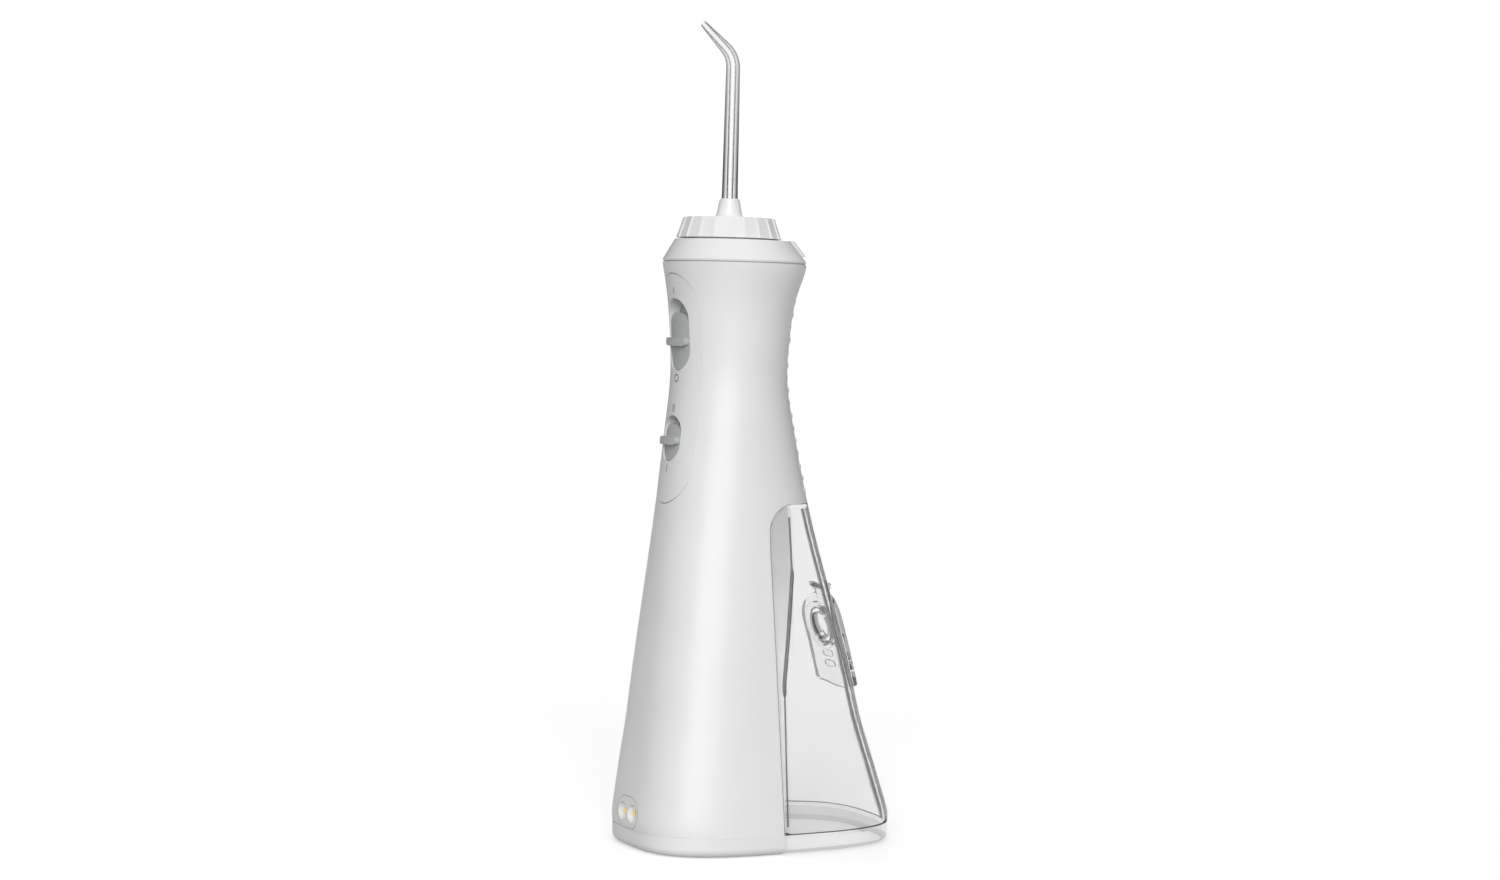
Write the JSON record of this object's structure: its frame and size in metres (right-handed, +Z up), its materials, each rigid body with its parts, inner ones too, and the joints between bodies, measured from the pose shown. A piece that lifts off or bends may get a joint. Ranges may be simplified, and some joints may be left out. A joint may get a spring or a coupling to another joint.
{
  "type": "water flosser",
  "caption": "Cordless oral irrigator: tapered housing with slide switches, turning jet tip, release button and a clip-on clear reservoir with a fill door.",
  "frame": {"origin": "centre of the footprint, on the surface that the flosser stands on", "axes": "+Z up along the handle, -Y towards the slide switches and the charging port, +Y towards the reservoir, +X to the side"},
  "size_m": [0.066, 0.1005, 0.2939],
  "materials": {
    "shell_white": "satin moulded ABS",
    "panel_white": "satin moulded ABS",
    "slider_grey": "fine matt texture",
    "bezel_grey": "satin",
    "tank_clear": "clear polished",
    "tip_clear": "clear polished",
    "contact_gold": "gold-plated",
    "seal_rubber": "matt",
    "door_seal_rubber": "translucent silicone",
    "steel": "bright turned",
    "magnet": "nickel-plated",
    "cell_sleeve": "shrink sleeve over a steel can",
    "rotor_iron": "lacquered laminations",
    "inner_plastic": "as moulded",
    "gear_plastic": "as moulded acetal",
    "hose_silicone": "translucent silicone",
    "board_green": "solder mask",
    "switch_black": "as moulded"
  },
  "bodies": {
    "root": {"main_housing": "shell_white", "base_cap": "shell_white", "base_seal": "seal_rubber", "base_screws": "steel", "collar": "shell_white", "switch_panel": "panel_white", "charge_bezel": "bezel_grey", "contact_pins": "contact_gold", "charge_magnets": "magnet", "chassis": "inner_plastic", "battery_cells": "cell_sleeve", "motor_can": "steel", "motor_end_cap": "inner_plastic", "motor_magnets": "magnet", "gear_bracket": "inner_plastic", "gear_axle": "steel", "motor_screws": "steel", "pump_cylinder": "inner_plastic", "pump_head": "inner_plastic", "intake_valve": "seal_rubber", "outlet_valve": "seal_rubber", "outlet_tube": "hose_silicone", "inlet_hose": "hose_silicone", "inlet_spigot": "inner_plastic", "inlet_o_ring": "seal_rubber", "tip_socket": "inner_plastic", "tip_o_ring": "seal_rubber", "circuit_board": "board_green", "power_switch": "switch_black"},
    "knob": {"tip_knob": "shell_white", "knob_retaining_ring": "steel"},
    "tip": {"jet_tip": "tip_clear"},
    "eject": {"eject_button": "shell_white", "eject_spring": "steel"},
    "power": {"power_slider": "slider_grey"},
    "pressure": {"pressure_slider": "slider_grey"},
    "tank": {"reservoir": "tank_clear", "reservoir_base": "tank_clear", "door_hinge_pin": "steel"},
    "door": {"fill_door": "tank_clear", "door_seal": "door_seal_rubber"},
    "rotor": {"motor_rotor": "rotor_iron", "drive_pinion": "steel"},
    "gear": {"drive_gear": "gear_plastic"},
    "pump_piston": {"piston": "inner_plastic", "piston_seal": "seal_rubber", "connecting_rod": "gear_plastic", "wrist_pin": "steel"}
  },
  "joints": [
    {"name": "knob_spin", "type": "hinge", "parent": "root", "child": "knob", "pos_m": [0, -0.0153, 0.22], "axis": [0, 0, 1], "continuous": true},
    {"name": "tip_release", "type": "slide", "parent": "knob", "child": "tip", "axis": [0, 0, 1], "range_m": [0, 0.036]},
    {"name": "eject_press", "type": "slide", "parent": "root", "child": "eject", "axis": [0, -1, 0], "range_m": [0, 0.002], "stiffness_N_per_m": 400, "springref_m": -0.002, "deforming": ["eject_spring"]},
    {"name": "power_slide", "type": "slide", "parent": "root", "child": "power", "axis": [0, 0, 1], "range_m": [0, 0.0046]},
    {"name": "pressure_slide", "type": "slide", "parent": "root", "child": "pressure", "axis": [0, 0, 1], "range_m": [0, 0.0027]},
    {"name": "reservoir_slide", "type": "slide", "parent": "root", "child": "tank", "axis": [0, 1, 0], "range_m": [0, 0.08]},
    {"name": "door_hinge", "type": "hinge", "parent": "tank", "child": "door", "pos_m": [0, 0.02691, 0.0919], "axis": [1, 0, 0], "range_deg": [0, 100]},
    {"name": "rotor_spin", "type": "hinge", "parent": "root", "child": "rotor", "pos_m": [0, -0.017, 0.074], "axis": [1, 0, 0], "continuous": true},
    {"name": "gear_spin", "type": "hinge", "parent": "root", "child": "gear", "pos_m": [0.0165, -0.017, 0.089], "axis": [1, 0, 0], "continuous": true},
    {"name": "piston_slide", "type": "slide", "parent": "root", "child": "pump_piston", "axis": [0, 0, 1], "range_m": [-0.006, 0]}
  ],
  "couplings": [
    {"joint": "gear_spin", "follows": "rotor_spin", "ratio": -0.25}
  ]
}
